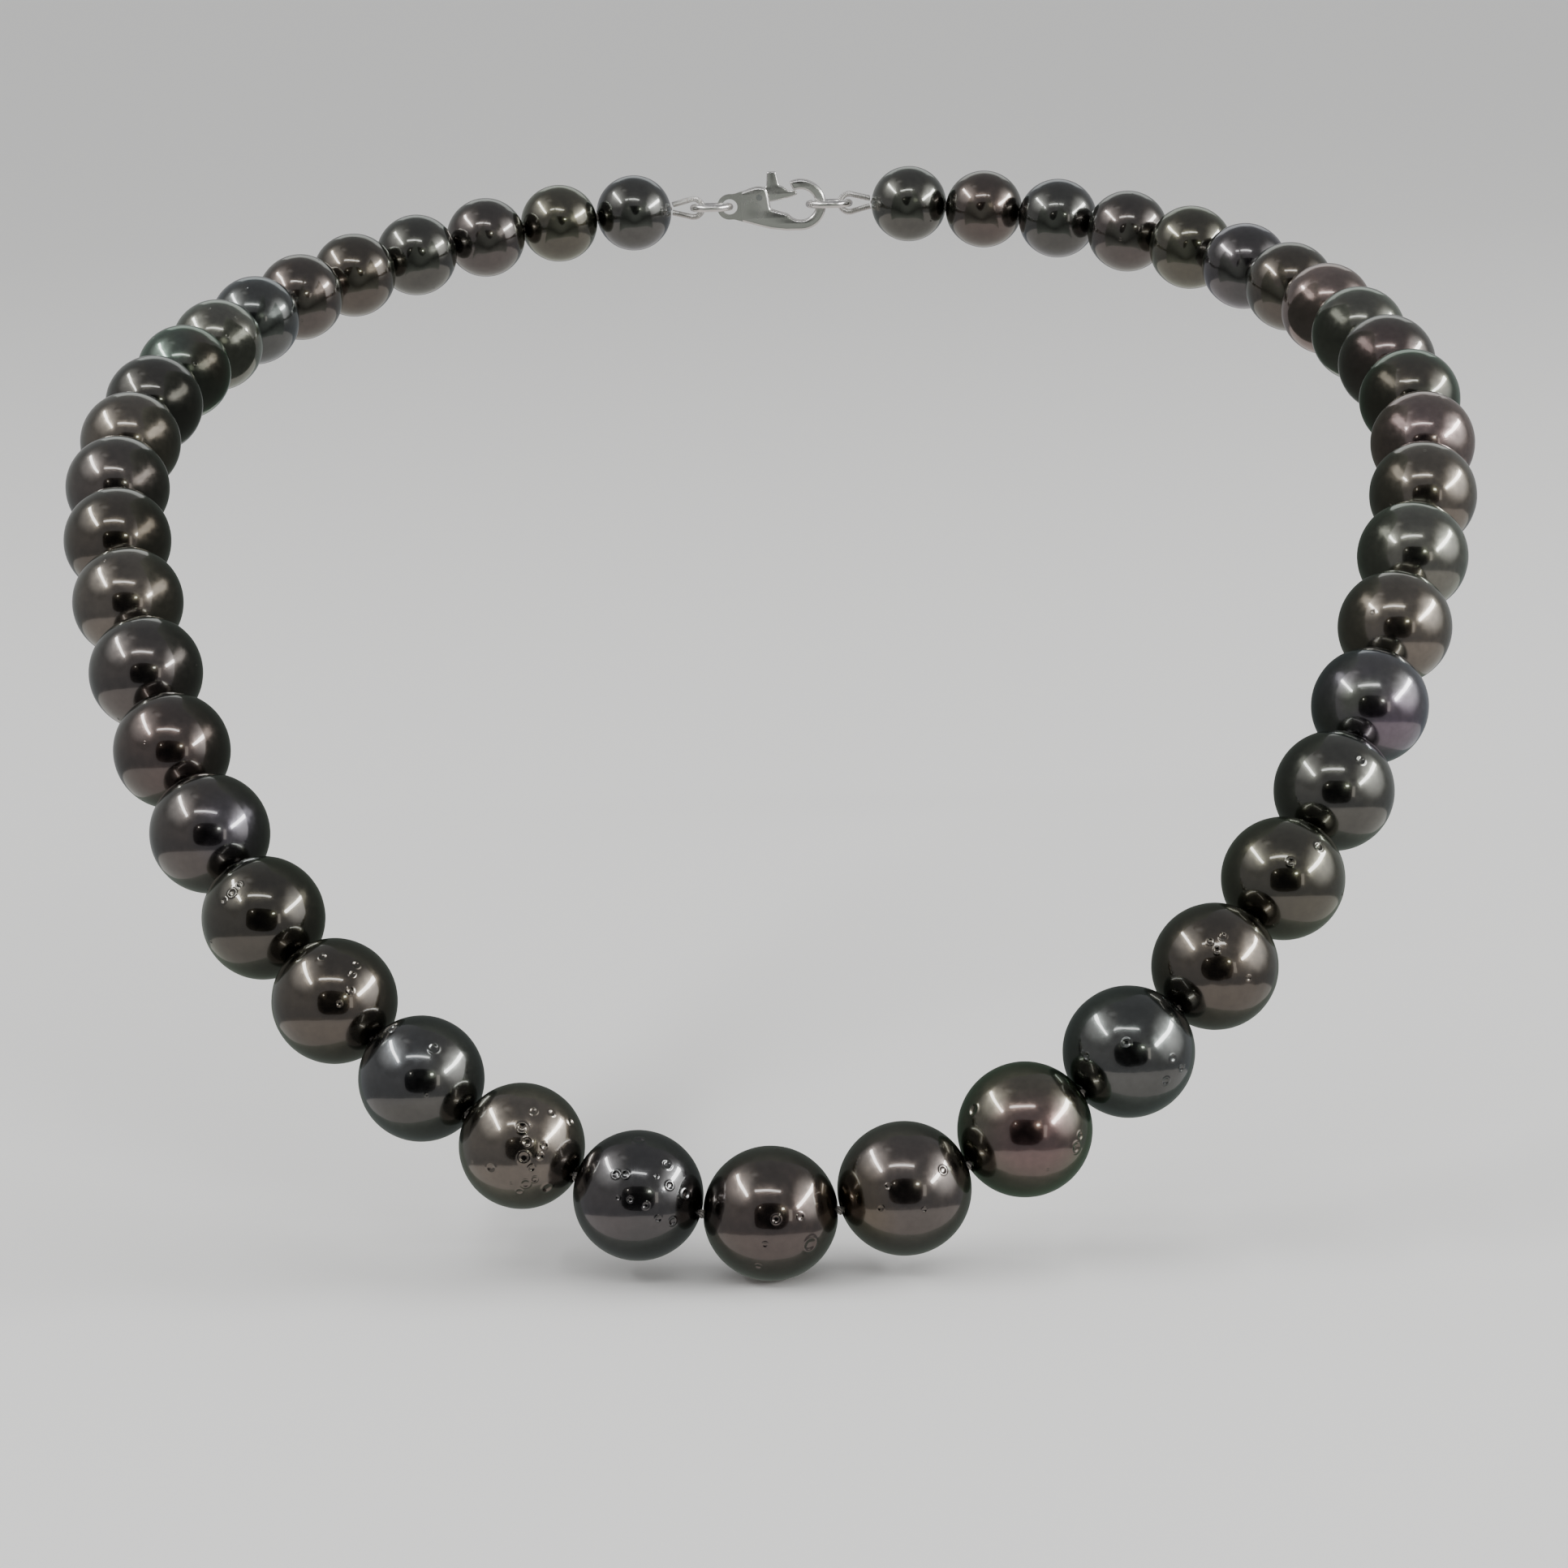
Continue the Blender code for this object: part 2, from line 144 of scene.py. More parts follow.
# From the front pearl outwards, as far as they can be told apart. Those behind the neck repeat them.
LEFT_TONES = (
    "violet_black", "taupe", "steel", "chocolate", "moss", "mauve", "plum", "mauve",
    "umber", "chocolate", "dusk", "umber", "charcoal", "myrtle", "sage", "slate",
    "aubergine", "chocolate", "graphite", "mauve", "olive", "steel",
)
RIGHT_TONES = (
    "dusk", "peacock", "slate", "chocolate", "olive", "graphite", "lagoon", "fawn",
    "sage", "fawn", "rose", "myrtle", "dusk", "sage", "rose", "chocolate",
    "violet_black", "olive", "mauve", "steel", "aubergine", "graphite",
)

# The larger pits, as (right, up, radius) on the half of the pearl that faces the front, in pearl radii.
FRONT_PITS = {
    "pearl_front": ((0.08, 0.0, 0.060), (0.44, 0.03, 0.050), (0.58, -0.40, 0.105), (-0.08, -0.38, 0.040),
                    (-0.18, -0.72, 0.045)),
    "pearl_right_01": ((0.55, 0.33, 0.060), (-0.37, -0.22, 0.045), (0.27, -0.24, 0.035),
                       (-0.27, 0.10, 0.04)),
    "pearl_right_02": ((-0.78, 0.32, 0.085), (0.72, -0.22, 0.08), (0.78, -0.05, 0.06)),
    "pearl_right_03": ((-0.10, 0.18, 0.06), (0.60, -0.05, 0.05), (0.50, -0.40, 0.06), (-0.68, -0.03, 0.05),
                       (0.74, -0.22, 0.05)),
    "pearl_left_01": ((-0.31, 0.39, 0.060), (-0.17, 0.39, 0.060), (0.03, 0.87, 0.08), (0.45, 0.53, 0.07),
                      (0.50, 0.22, 0.06), (0.74, 0.07, 0.07), (-0.09, 0.02, 0.04), (0.14, -0.07, 0.05),
                      (0.33, -0.28, 0.05), (0.54, -0.33, 0.06), (-0.28, 0.04, 0.03), (0.30, 0.36, 0.03)),
    "pearl_left_02": ((0.05, 0.35, 0.075), (0.22, 0.60, 0.06), (0.50, 0.56, 0.05), (0.79, 0.41, 0.06),
                      (0.13, 0.13, 0.07), (0.40, 0.07, 0.05), (0.08, -0.11, 0.085), (0.33, -0.09, 0.05),
                      (0.20, -0.28, 0.05), (-0.44, -0.28, 0.07), (0.10, -0.53, 0.07), (0.0, -0.66, 0.05),
                      (0.43, -0.61, 0.08), (0.24, -0.46, 0.05)),
    "pearl_left_03": ((0.25, 0.53, 0.08), (-0.43, 0.81, 0.07)),
    "pearl_left_04": ((0.35, 0.46, 0.05), (0.40, 0.60, 0.06), (0.33, 0.21, 0.05), (-0.12, 0.72, 0.06),
                      (0.16, 0.0, 0.04)),
    "pearl_left_05": ((-0.42, 0.42, 0.07), (-0.55, 0.30, 0.05), (-0.30, 0.55, 0.05)),
    "pearl_right_04": ((-0.15, 0.42, 0.05), (0.05, 0.50, 0.06), (-0.05, 0.28, 0.05), (0.45, -0.15, 0.04)),
    "pearl_right_05": ((0.02, 0.28, 0.06), (0.50, 0.52, 0.07)),
    "pearl_right_06": ((0.35, 0.50, 0.07),),
}

# A patch of another overtone: where it lies, (right, up) from the front, and its colour.
BLUSHES = {
    "pearl_front": ((0.05, -0.25), (0.092, 0.072, 0.064)),
    "pearl_right_01": ((-0.80, -0.25), (0.106, 0.084, 0.052)),
    "pearl_right_02": ((0.10, -0.12), (0.170, 0.110, 0.103)),
    "pearl_right_07": ((0.30, -0.50), (0.165, 0.132, 0.172)),
    "pearl_right_11": ((-0.25, 0.25), (0.220, 0.165, 0.158)),
    "pearl_right_13": ((-0.25, 0.25), (0.140, 0.104, 0.098)),
    "pearl_left_03": ((-0.45, 0.35), (0.074, 0.080, 0.084)),
    "pearl_left_06": ((0.55, 0.10), (0.090, 0.086, 0.098)),
    "pearl_left_14": ((-0.40, 0.45), (0.092, 0.128, 0.104)),
}
FINE_PITS_EACH = 3  # smaller ones, scattered on every pearl

# The studio, as directions (right, up, towards the camera) from the front pearl.
STUDIO_DISTANCE = 1.1
PANEL_DISTANCE = 1.3
WEAK_LIGHT = 2
FLOOR_COLOUR = (0.80, 0.80, 0.79, 1)
FLOOR_GAP = 0.0002  # under the lowest pearl
FLOOR_REACH = 80.0
ROOM_GLOW = 0.29  # how bright reflections see the upper room
FORM_REACH = 15  # pearls each side of the front one
FORM_GAP = 1.15  # from a pearl's centre to the form, in pearl radii
# The form's rows, from its top down: how far outward, how far up, and how brightly each one glows. The glow
# is painted light of lit velvet, with painted shade in the rows level with the pearls.
FORM_ROWS = (
    (-0.024, 0.070, 0.31), (-0.014, 0.034, 0.24), (-0.007, 0.012, 0.14), (0.0, 0.0, 0.09),
    (0.002, -0.012, 0.16), (0.018, -0.045, 0.30), (0.036, -0.080, 0.39),
)
# How reflections see the room, from straight below to straight above: a lit table, its edge, and the walls.
ROOM_RAMP = (
    (0.0, (0.60, 0.56, 0.54)), (0.300, (0.72, 0.67, 0.65)), (0.312, (0.25, 0.25, 0.26)),
    (0.55, (0.34, 0.33, 0.33)), (1.0, (0.26, 0.26, 0.27)),
)
SKY_COLOUR = (0.88, 0.88, 0.88)
HORIZON_COLOUR = (0.704, 0.704, 0.704)  # the floor's own brightness far off, so that no horizon shows
SKY_STRENGTH = 0.95


def unit(vector):
    return np.asarray(vector, float) / np.linalg.norm(vector)


def put(name, data):
    made = bpy.data.objects.new(name, data)
    bpy.context.scene.collection.objects.link(made)
    return made


# The camera's own directions.


def camera_axes():
    """The camera's right, up and backward directions, from its yaw, pitch and roll."""
    yaw, pitch, roll = (math.radians(a) for a in (CAMERA_YAW_DEG, CAMERA_PITCH_DEG, CAMERA_ROLL_DEG))
    flat = math.cos(pitch)
    forward = Vector((math.sin(yaw) * flat, math.cos(yaw) * flat, math.sin(pitch)))
    level = Vector((math.cos(yaw), -math.sin(yaw), 0))
    upright = level.cross(forward)
    right = math.cos(roll) * level + math.sin(roll) * upright
    up = -math.sin(roll) * level + math.cos(roll) * upright
    return right, up, -forward


# Where the pearls are.


def centre_and_radius(node):
    """A pearl's centre and radius, from its CAD solid, whose corners lie evenly about the centre."""
    corners = np.array([v.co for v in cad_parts[node].data.vertices], float)
    corners = np.unique(np.round(corners, 8), axis=0)
    centre = corners.mean(0)
    return centre, np.linalg.norm(corners - centre, axis=1).max() + GROWTH


def strand_names():
    count = range(1, PEARLS_EACH_SIDE + 1)
    left = [f"pearl_left_{k:02d}" for k in reversed(count)]
    return left + ["pearl_front"] + [f"pearl_right_{k:02d}" for k in count]


def bore_directions(centres):
    """The way each bore runs: along the line between the pearl's two neighbours."""
    last = len(centres) - 1
    found = [unit(centres[min(i + 1, last)] - centres[max(i - 1, 0)]) for i in range(last + 1)]
    found[0] = unit(2 * found[0] - found[1])
    found[last] = unit(2 * found[last] - found[last - 1])
    return found


def mouth_height(radius):
    return math.sqrt(radius**2 - MOUTH_RADIUS**2)


# Materials.


def new_material(name):
    made = bpy.data.materials.new(name)
    made.use_nodes = True
    shader = made.node_tree.nodes["Principled BSDF"]
    return made, made.node_tree, shader


def add_node(tree, kind, **inputs):
    """A node of this kind, with its named inputs set to values or linked to sockets."""
    made = tree.nodes.new(kind)
    for name, value in inputs.items():
        socket = made.inputs[name.replace("_", " ")]
        if isinstance(value, bpy.types.NodeSocket):
            tree.links.new(value, socket)
        else:
            socket.default_value = value
    return made


def ramp(tree, factor, stops):
    """A colour ramp through (place, colour) stops."""
    made = tree.nodes.new("ShaderNodeValToRGB")
    tree.links.new(factor, made.inputs["Fac"])
    elements = made.color_ramp.elements
    while len(elements) < len(stops):
        elements.new(0.5)
    for element, (place, colour) in zip(elements, stops):
        element.position = place
        element.color = colour if len(colour) == 4 else (*colour, 1)
    return made.outputs["Color"]


def mixed(tree, factor, first, second, blend="MIX"):
    """Two colours mixed by a factor."""
    made = tree.nodes.new("ShaderNodeMix")
    made.data_type = "RGBA"
    made.blend_type = blend
    for socket, value in ((made.inputs[0], factor), (made.inputs[6], first), (made.inputs[7], second)):
        if isinstance(value, bpy.types.NodeSocket):
            tree.links.new(value, socket)
        elif isinstance(value, (int, float)):
            socket.default_value = value
        else:
            socket.default_value = (*value, 1)
    return made.outputs[2]


def between(tree, value, from_low, from_high, to_low, to_high):
    """A value moved from one range to another."""
    made = add_node(tree, "ShaderNodeMapRange", Value=value)
    made.inputs["From Min"].default_value = from_low
    made.inputs["From Max"].default_value = from_high
    made.inputs["To Min"].default_value = to_low
    made.inputs["To Max"].default_value = to_high
    return made.outputs["Result"]


def nacre(name, tone, seed, radius):
    """Dark nacre: a satin metallic depth under a sharp clear coat, with its overtone in soft clouds."""
    body, overtone, edge = TONES[tone]
    made, tree, shader = new_material(f"nacre_{name}")
    place = tree.nodes.new("ShaderNodeTexCoord").outputs["Object"]
    shifted = add_node(tree, "ShaderNodeMapping", Vector=place)
    shifted.inputs["Location"].default_value = (0.013 * seed, 0.007 * seed, 0.003 * seed)
    clouds = add_node(tree, "ShaderNodeTexNoise", Vector=shifted.outputs[0], Scale=140.0, Detail=2.0)
    grain = add_node(tree, "ShaderNodeTexNoise", Vector=shifted.outputs[0], Scale=1500.0, Detail=4.0)
    height = tree.nodes.new("ShaderNodeSeparateXYZ")
    tree.links.new(place, height.inputs[0])
    if name in BLUSHES:
        (right, up), blush = BLUSHES[name]
        facing = tree.nodes.new("ShaderNodeVectorMath")
        facing.operation = "DOT_PRODUCT"
        tree.links.new(place, facing.inputs[0])
        facing.inputs[1].default_value = seen_from_front(right, up) / radius
        spread = between(tree, facing.outputs["Value"], 0.66, 0.96, 0, 1)
        overtone = mixed(tree, spread, overtone, blush)
        body = mixed(tree, spread, body, tuple(0.9 * part for part in blush))
    cloudy = ramp(tree, clouds.outputs["Fac"], ((0.40, (0, 0, 0)), (0.62, (1, 1, 1))))
    colour = mixed(tree, cloudy, body, overtone)
    # Painted shade: towards the bottom of each pearl the base colour is mixed towards a darker copy of its
    # body colour.
    low = between(tree, height.outputs["Z"], -radius, -0.15 * radius, 0.35, 0.0)
    colour = mixed(tree, low, colour, tuple(0.75 * part for part in TONES[tone][0]))
    speckles = ((0.30, (1.03, 1.03, 1.03)), (0.70, (1.29, 1.29, 1.29)))
    speckled = ramp(tree, grain.outputs["Fac"], speckles)
    colour = mixed(tree, 1.0, colour, speckled, "MULTIPLY")
    tree.links.new(colour, shader.inputs["Base Color"])
    shader.inputs["Metallic"].default_value = 1.0
    gloss = between(tree, grain.outputs["Fac"], 0.3, 0.7, 0.17, 0.24)
    tree.links.new(gloss, shader.inputs["Roughness"])
    shader.inputs["Specular Tint"].default_value = (*edge, 1)
    shader.inputs["Coat Weight"].default_value = 1.0
    shader.inputs["Coat Roughness"].default_value = 0.035
    shader.inputs["Coat IOR"].default_value = 1.7
    bump = add_node(tree, "ShaderNodeBump", Height=grain.outputs["Fac"], Strength=0.08, Distance=0.0001)
    tree.links.new(bump.outputs[0], shader.inputs["Normal"])
    return made


def silk_material():
    """Twisted silk: fine slanting plies, matte with a little sheen."""
    made, tree, shader = new_material("silk")
    place = tree.nodes.new("ShaderNodeTexCoord").outputs["Object"]
    plies = add_node(tree, "ShaderNodeTexWave", Vector=place, Scale=2200.0, Distortion=3.0, Detail=2.0)
    plies.bands_direction = "DIAGONAL"
    colour = ramp(tree, plies.outputs["Fac"], ((0.2, (0.14, 0.13, 0.12)), (0.8, (0.36, 0.33, 0.30))))
    tree.links.new(colour, shader.inputs["Base Color"])
    shader.inputs["Roughness"].default_value = 0.75
    shader.inputs["Sheen Weight"].default_value = 0.4
    bump = add_node(tree, "ShaderNodeBump", Height=plies.outputs["Fac"], Strength=0.6, Distance=0.00004)
    tree.links.new(bump.outputs[0], shader.inputs["Normal"])
    return made


def metal(name, colour, roughness, scratch):
    """Polished metal, with the faint uneven gloss and hairlines that handling leaves."""
    made, tree, shader = new_material(name)
    place = tree.nodes.new("ShaderNodeTexCoord").outputs["Object"]
    cloud = add_node(tree, "ShaderNodeTexNoise", Vector=place, Scale=350.0, Detail=3.0)
    drawn = add_node(tree, "ShaderNodeMapping", Vector=place, Scale=(500.0, 4000.0, 4000.0))
    hairs = add_node(tree, "ShaderNodeTexNoise", Vector=drawn.outputs[0], Scale=1.0, Detail=3.0)
    dull = tuple(0.93 * part for part in colour)
    shade = ramp(tree, cloud.outputs["Fac"], ((0.35, dull), (0.65, colour)))
    tree.links.new(shade, shader.inputs["Base Color"])
    shader.inputs["Metallic"].default_value = 1.0
    gloss = between(tree, cloud.outputs["Fac"], 0.3, 0.7, 0.7 * roughness, 1.4 * roughness)
    tree.links.new(gloss, shader.inputs["Roughness"])
    bump = add_node(tree, "ShaderNodeBump", Height=hairs.outputs["Fac"], Strength=scratch)
    bump.inputs["Distance"].default_value = 0.00002
    tree.links.new(bump.outputs[0], shader.inputs["Normal"])
    return made


# The pearls.


def seen_from_front(right, up):
    """The direction of a point seen at (right, up) on the half of a pearl that faces the camera."""
    towards = math.sqrt(1 - right**2 - up**2)
    return unit(right * view_right + up * view_up + towards * view_back)


class Skin:
    """How far a pearl's surface lies from its centre each way: out of round, rippled and pitted."""

    def __init__(self, name, radius, seed):
        dice = np.random.default_rng(seed)
        self.radius = radius
        self.long_axis = unit(dice.normal(size=3))
        self.squash = OUT_OF_ROUND * dice.uniform(0.3, 1.0)
        tightness = (5, 15)
        self.waves = dice.normal(size=(RIPPLE_WAVES, 3)) * dice.uniform(*tightness, size=(RIPPLE_WAVES, 1))
        self.phases = dice.uniform(0, 2 * math.pi, RIPPLE_WAVES)
        self.ripple = RIPPLE * dice.uniform(0.5, 1.3)
        self.pits = [(seen_from_front(x, y), size) for x, y, size in FRONT_PITS.get(name, ())]
        for _ in range(FINE_PITS_EACH):
            self.pits.append((unit(dice.normal(size=3)), dice.uniform(0.015, 0.035)))

    def height(self, ways):
        """The distance from the centre along each unit direction."""
        tall = (ways @ self.long_axis) ** 2 - 1 / 3
        wavy = np.sin(ways @ self.waves.T + self.phases).mean(1)
        stray = self.squash * tall + self.ripple * wavy
        for middle, size in self.pits:
            away = np.linalg.norm(ways - middle, axis=1) / size
            bowl = -np.exp(-((away / 0.75) ** 4))
            lip = PIT_LIP * np.exp(-(((away - 1.1) / 0.3) ** 2))
            stray += PIT_DEPTH * size * (bowl + lip)
        return self.radius * (1 + stray)

    def normals(self, ways):
        """The surface's own normals along each unit direction."""
        helper = np.where(np.abs(ways[:, :1]) < 0.7, [[1.0, 0, 0]], [[0, 1.0, 0]])
        across = np.cross(ways, helper)
        across /= np.linalg.norm(across, axis=1)[:, None]
        along = np.cross(ways, across)
        here = self.height(ways)
        step = 0.001
        found = ways * here[:, None]
        for tangent in (across, along):
            moved = ways + step * tangent
            moved /= np.linalg.norm(moved, axis=1)[:, None]
            found -= tangent * ((self.height(moved) - here) / step)[:, None]
        return found / np.linalg.norm(found, axis=1)[:, None]


def turned_pearl(radius, bore):
    """A bmesh sphere turned about its bore, open right through, with countersunk mouths."""
    start = math.asin(MOUTH_RADIUS / radius)
    arc = [start + (math.pi - 2 * start) * i / PEARL_STEPS for i in range(PEARL_STEPS + 1)]
    profile = [(radius * math.sin(a), radius * math.cos(a)) for a in arc]
    top = mouth_height(radius)
    inner = top - MOUTH_DEPTH
    profile += [(BORE_RADIUS, -inner), (BORE_RADIUS, inner)]
    work = bmesh.new()
    rings = []
    for out, up in profile:
        turns = [2 * math.pi * j / PEARL_SIDES for j in range(PEARL_SIDES)]
        rings.append([work.verts.new((out * math.cos(t), out * math.sin(t), up)) for t in turns])
    for upper, lower in zip(rings, rings[1:] + rings[:1]):
        for j in range(PEARL_SIDES):
            k = (j + 1) % PEARL_SIDES
            work.faces.new((upper[j], lower[j], lower[k], upper[k]))
    turn = Vector(bore).to_track_quat("Z", "Y").to_matrix().to_4x4()
    bmesh.ops.transform(work, matrix=turn, verts=work.verts)
    return work


def refine_pits(work, skin):
    """Cuts the faces round each pit finer, in two passes, so that its ring has a real shape."""
    middles = np.array([middle for middle, _ in skin.pits]) * skin.radius
    sizes = np.array([size for _, size in skin.pits])
    for reach in (2.2, 1.7):  # in pit radii
        faces = list(work.faces)
        places = np.array([f.calc_center_median() for f in faces])
        away = np.linalg.norm(places[:, None] - middles, axis=2)
        close = (away < (reach * sizes + 0.03) * skin.radius).any(1)
        edges = {e for face, is_close in zip(faces, close) if is_close for e in face.edges}
        edges = sorted(edges, key=lambda e: e.index)
        bmesh.ops.subdivide_edges(work, edges=edges, cuts=2, use_grid_fill=True)
        work.edges.index_update()


def make_pearl(name, centre, radius, bore, seed, tone):
    skin = Skin(name, radius, seed)
    work = turned_pearl(radius, bore)
    work.edges.index_update()
    refine_pits(work, skin)
    mesh = bpy.data.meshes.new(name)
    work.normal_update()
    bmesh.ops.recalc_face_normals(work, faces=work.faces)
    work.to_mesh(mesh)
    work.free()
    places = np.array([v.co for v in mesh.vertices], float)
    away = np.linalg.norm(places, axis=1)
    off_bore = np.linalg.norm(np.cross(places, bore), axis=1)
    outside = (away > 0.9 * radius) & (off_bore > 0.98 * MOUTH_RADIUS)
    ways = places / away[:, None]
    places[outside] = ways[outside] * skin.height(ways[outside])[:, None]
    mesh.vertices.foreach_set("co", places.astype(np.float32).ravel())
    mesh.shade_smooth()
    normals = np.zeros_like(places)
    normals[outside] = skin.normals(ways[outside])
    mesh.normals_split_custom_set_from_vertices(normals.tolist())
    mesh.materials.append(nacre(name, tone, seed, radius))
    pearl = put(f"{name}_nacre", mesh)
    pearl.location = centre
    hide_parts(name)
    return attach(pearl, name)


# The silk.


def tube(name, points, radius, look, closed=False, roundness=3, scales=None):
    """A round tube through points in the row frame, as a curve."""
    curve = bpy.data.curves.new(name, "CURVE")
    curve.dimensions = "3D"
    curve.bevel_depth = radius
    curve.bevel_resolution = roundness
    curve.use_fill_caps = not closed
    spline = curve.splines.new("POLY")
    spline.points.add(len(points) - 1)
    spline.use_cyclic_u = closed
    for place, point in enumerate(points):
        spline.points[place].co = (*point, 1)
        spline.points[place].radius = scales[place] if scales else 1
    spline.use_smooth = True
    curve.materials.append(look)
    return put(name, curve)


def overhand_knot(middle, along):
    """The line of a knot pulled tight: a trefoil turned to lie across the strand."""
    turn = Vector(along).to_track_quat("Z", "Y")
    points = []
    for step in range(60):
        t = 2 * math.pi * step / 60
        out = 0.55 * KNOT_RADIUS + 0.26 * KNOT_RADIUS * math.cos(3 * t)
        rise = 0.30 * KNOT_RADIUS * math.sin(3 * t)
        flat = Vector((out * math.cos(2 * t), out * math.sin(2 * t), rise))
        points.append(Vector(middle) + turn @ flat)
    return points


def knot_places(centres, radii, bores):
    places = []
    for i in range(len(centres) - 1):
        leaving = centres[i] + bores[i] * mouth_height(radii[i])
        entering = centres[i + 1] - bores[i + 1] * mouth_height(radii[i + 1])
        places.append((leaving + entering) / 2)
    return places


def string_silk(names, centres, radii, bores, look):
    """A length of silk through each pearl, from the knot before it to the knot after it."""
    knots = knot_places(centres, radii, bores)
    for i, name in enumerate(names):
        reach = mouth_height(radii[i])
        first = knots[i - 1] if i else centres[i] - bores[i] * (reach + 0.0002)
        last = knots[i] if i < len(knots) else centres[i] + bores[i] * (reach + 0.0002)
        inside = [centres[i] + bores[i] * reach * part for part in (-0.95, 0.95)]
        thread = tube(f"silk_in_{name}", [first, *inside, last], SILK_RADIUS, look)
        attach(thread, name)
        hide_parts("silk_thread")
    front = names.index("pearl_front")
    for i, middle in enumerate(knots):
        along = centres[i + 1] - centres[i]
        owner = names[i + 1] if i < front else names[i]
        word = names[i] if i < front else names[i + 1]
        line = overhand_knot(middle, along)
        knot = tube(f"knot_at_{word}", line, 0.36 * KNOT_RADIUS, look, closed=True)
        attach(knot, owner)


# The clasp.


def clasp_frame(centres, radii, bores):
    """The clasp's place: x from the left end pearl's mouth to the right one's, z up. Also the span."""
    left = Vector(centres[0] - bores[0] * mouth_height(radii[0]))
    right = Vector(centres[-1] + bores[-1] * mouth_height(radii[-1]))
    along = (right - left).normalized()
    back = Vector((0, 0, 1)).cross(along).normalized()
    up = along.cross(back)
    axes = Matrix((along, back, up)).transposed().to_4x4()
    return Matrix.Translation((left + right) / 2) @ axes, (right - left).length


def in_clasp(points, centre_u=0.0):
    """Points given as (u, w, v) in the clasp's frame, in the row frame."""
    return [clasp @ Vector((u + centre_u, w, v)) for u, w, v in points]


def gimp_line(mouth_u, ring_u, steps=10):
    """The line of a French wire loop: out of the pearl's mouth, round the ring and back."""
    way = 1 if ring_u > mouth_u else -1
    start = mouth_u + way * GIMP_CLEARANCE - ring_u
    spread = math.radians(GIMP_SPREAD_DEG)
    half = [(start, GIMP_LEG_SPACING / 2)]
    for step in range(steps + 1):
        turn = spread * (1 - step / steps)
        half.append((way * GIMP_LOOP_RADIUS * math.cos(turn), GIMP_LOOP_RADIUS * math.sin(turn)))
    return [Vector((u, 0, v)) for u, v in half] + [Vector((u, 0, -v)) for u, v in half[-2::-1]]


def wound(line, coil_radius, pitch, steps_each=10):
    """A helix wound round a line of points."""
    lengths = [0.0]
    for a, b in zip(line, line[1:]):
        lengths.append(lengths[-1] + (b - a).length)
    count = int(lengths[-1] / pitch * steps_each)
    points = []
    for step in range(count + 1):
        s = lengths[-1] * step / count
        k = max(i for i in range(len(line) - 1) if lengths[i] <= s + 1e-12)
        part = (s - lengths[k]) / (lengths[k + 1] - lengths[k])
        middle = line[k].lerp(line[k + 1], part)
        before = line[max(k - 1, 0)]
        after = line[min(k + 2, len(line) - 1)]
        arriving = (line[k + 1] - before).normalized()
        along = arriving.lerp((after - line[k]).normalized(), part).normalized()
        side = Vector((0, 1, 0))
        other = along.cross(side)
        turn = 2 * math.pi * step / steps_each
        points.append(middle + coil_radius * (math.cos(turn) * side + math.sin(turn) * other))
    return points


def make_gimp(name, mouth_u, ring_u, body, wire_look, silk_look):
    line = gimp_line(mouth_u, ring_u)
    helix = in_clasp(wound(line, GIMP_COIL_RADIUS, GIMP_PITCH), ring_u)
    coil = tube(f"{name}_coil", helix, GIMP_WIRE_RADIUS, wire_look, roundness=1)
    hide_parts(name)
    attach(coil, body)
    core = tube(f"{name}_silk", in_clasp(line, ring_u), SILK_RADIUS, silk_look)
    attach(core, body)


def make_ring(name, radius, centre_u, body, look):
    """A soldered round ring, with the solder's slight swelling on one side."""
    points = []
    scales = []
    for step in range(72):
        turn = 2 * math.pi * step / 72
        points.append((radius * math.cos(turn), radius * math.sin(turn), 0))
        seam = math.atan2(math.sin(turn - SEAM_TURN), math.cos(turn - SEAM_TURN))
        scales.append(1 + SEAM_SWELL * math.exp(-((seam / SEAM_REACH) ** 2)))
    ring = tube(f"{name}_wire", in_clasp(points, centre_u), RING_WIRE_RADIUS, look, True, 5, scales)
    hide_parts(name)
    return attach(ring, body)


def arc(centre, radius, from_deg, to_deg, steps):
    """Points on an arc in the claw's plane, both ends included."""
    turns = [math.radians(from_deg + (to_deg - from_deg) * i / steps) for i in range(steps + 1)]
    return [(centre[0] + radius * math.cos(a), centre[1] + radius * math.sin(a)) for a in turns]


def claw_outline():
    """The claw's edge: from the hook's nose round to the spine, on round the eye, and up to the slot."""
    hook = (HOOK_CENTRE_U, 0)
    edge = arc(hook, HOOK_OUTER_RADIUS, NOSE_DEG, -95, 48)
    edge += [(0.0062, -0.00278), (0.0045, -0.00255), (0.0034, -0.00226)]
    edge += [(0.0022, -0.0019), (0.0012, -0.00160)]
    edge += arc((0, 0), EYE_RADIUS, -75, -285, 36)
    edge += [(0.0010, 0.00154), (0.0016, 0.0017), (0.0023, 0.00192), (0.0030, 0.0021)]
    edge += [(0.0036, 0.00205), (0.0041, 0.0019), (0.0043, 0.0010), (0.0045, -0.0004)]
    edge += arc(hook, HOOK_INNER_RADIUS, -145, NOSE_DEG, 40)
    return edge


def lever_outline():
    """The trigger's edge: its heel round the pivot, the thumb tab above, and the tip under the nose."""
    edge = arc(PIVOT, LEVER_HEEL_RADIUS, 100, 275, 20)
    edge += [(0.0045, 0.0004), (0.0056, 0.0006), (0.0069, 0.0009), (0.0075, 0.0011)]
    edge += [(0.0074, 0.0015), (0.0064, 0.0016), (0.0060, 0.0020), (0.0055, 0.0022)]
    edge += [(0.0053, 0.0031), (0.0052, 0.0037), (0.0042, 0.0037), (0.0041, 0.0021)]
    return edge


